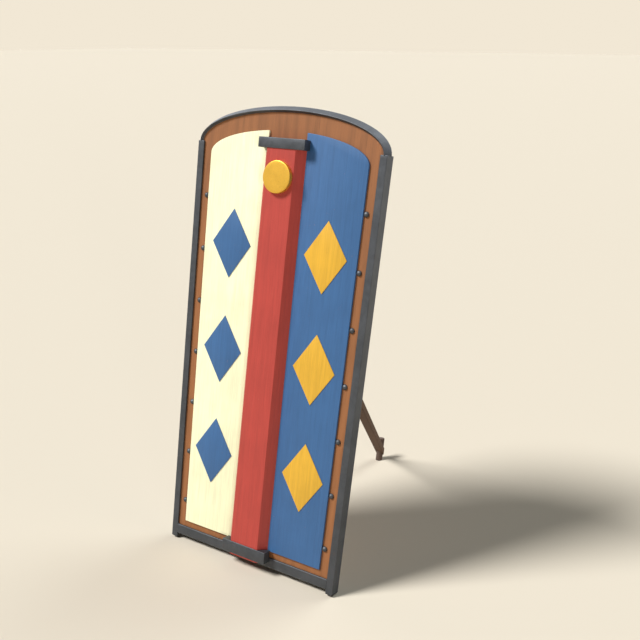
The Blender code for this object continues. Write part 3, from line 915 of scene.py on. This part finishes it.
class PAVISE_OT_stage(bpy.types.Operator):
    """Set the pale floor, the soft lights and the camera"""
    bl_idname = "pavise.stage"
    bl_label = "Floor, Lights and Camera"

    def sun(self, name, strength, towards, wide, tint=WHITE):
        """A soft light from far off. The fill is not mirrored in metal."""
        lamp = bpy.data.lights.new(name, 'SUN')
        lamp.color = tint
        lamp.energy = strength
        lamp.angle = radians(wide)
        obj = bpy.data.objects.new(name, lamp)
        obj.rotation_euler = Vector(towards).to_track_quat('Z', 'Y').to_euler()
        obj.visible_glossy = name != "fill"
        bpy.context.scene.collection.objects.link(obj)

    def sky(self, scene):
        """Even light, a plain backdrop for the camera, and a studio for metal to mirror."""
        light = scene.pavise_light
        scene.world = bpy.data.worlds.new("studio")
        sheet = Sheet(scene.world)
        camera = sheet.node('ShaderNodeLightPath', output="Is Camera Ray")
        glossy = sheet.node('ShaderNodeLightPath', output="Is Glossy Ray")
        towards = sheet.node('ShaderNodeTexCoord', output="Generated")
        _, along, height = sheet.split(towards)
        walls = sheet.ramp(along, -0.3, 0.6, light.before, light.behind)
        mirrored = walls + sheet.ramp(height, 0.1, 0.8) * (light.overhead - walls)
        strength = light.ambient + glossy * (mirrored - light.ambient)
        sheet.finish(Color=sheet.mix(camera, SKY_TINT, scene.pavise_colours.backdrop),
                     Strength=strength * (1 - camera) + camera)

    def execute(self, context):
        scene = context.scene
        light = scene.pavise_light
        bm = bmesh.new()
        bmesh.ops.create_grid(bm, x_segments=1, y_segments=1, size=FLOOR_HALF)
        mesh = bpy.data.meshes.new("floor")
        bm.to_mesh(mesh)
        bm.free()
        floor = bpy.data.objects.new("floor", mesh)
        floor.location.z = -FLOOR_DROP
        scene.collection.objects.link(floor)
        paint = bpy.data.materials.new("pale_floor")
        Sheet(paint).finish(Base_Color=(*scene.pavise_colours.floor, 1), Roughness=0.95,
                            Specular_IOR_Level=0.1)
        mesh.materials.append(paint)
        self.sky(scene)
        self.sun("key", light.key, KEY_FROM, KEY_WIDE)
        self.sun("fill", light.fill, FILL_FROM, FILL_WIDE)
        self.sun("rim", light.rim, RIM_FROM, RIM_WIDE, RIM_TINT)
        lens = bpy.data.cameras.new("camera")
        lens.angle = CAMERA_ANGLE
        camera = bpy.data.objects.new("camera", lens)
        camera.location = CAMERA_PLACE
        camera.rotation_euler = CAMERA_TURN
        scene.collection.objects.link(camera)
        scene.camera = camera
        scene.view_settings.view_transform = 'Standard'
        return {'FINISHED'}


class PAVISE_PT_panel(bpy.types.Panel):
    """Lists the pavise's pieces, sizes and colours"""
    bl_idname = "PAVISE_PT_panel"
    bl_label = "Pavise"
    bl_space_type = 'VIEW_3D'
    bl_region_type = 'UI'
    bl_category = "Pavise"

    def draw(self, context):
        for maker in MAKERS:
            self.layout.operator(maker.bl_idname)
        for group in (context.scene.pavise_sizes, context.scene.pavise_colours,
                      context.scene.pavise_light):
            for name in group.bl_rna.properties.keys():
                if name not in ("rna_type", "name"):
                    self.layout.prop(group, name)


MAKERS = (PAVISE_OT_stage, PAVISE_OT_board, PAVISE_OT_rails, PAVISE_OT_arch,
          PAVISE_OT_fields, PAVISE_OT_ridge, PAVISE_OT_straps, PAVISE_OT_boss,
          PAVISE_OT_lozenges, PAVISE_OT_rivets, PAVISE_OT_foot)
CLASSES = (PaviseSizes, PaviseColours, PaviseLight, *MAKERS, PAVISE_PT_panel)


def register():
    for cls in CLASSES:
        bpy.utils.register_class(cls)
    bpy.types.Scene.pavise_sizes = PointerProperty(type=PaviseSizes)
    bpy.types.Scene.pavise_colours = PointerProperty(type=PaviseColours)
    bpy.types.Scene.pavise_light = PointerProperty(type=PaviseLight)


def unregister():
    del bpy.types.Scene.pavise_light
    del bpy.types.Scene.pavise_colours
    del bpy.types.Scene.pavise_sizes
    for cls in reversed(CLASSES):
        bpy.utils.unregister_class(cls)


def main():
    register()
    for maker in MAKERS:
        group, name = maker.bl_idname.split(".")
        getattr(getattr(bpy.ops, group), name)()


if __name__ == "__main__":
    main()
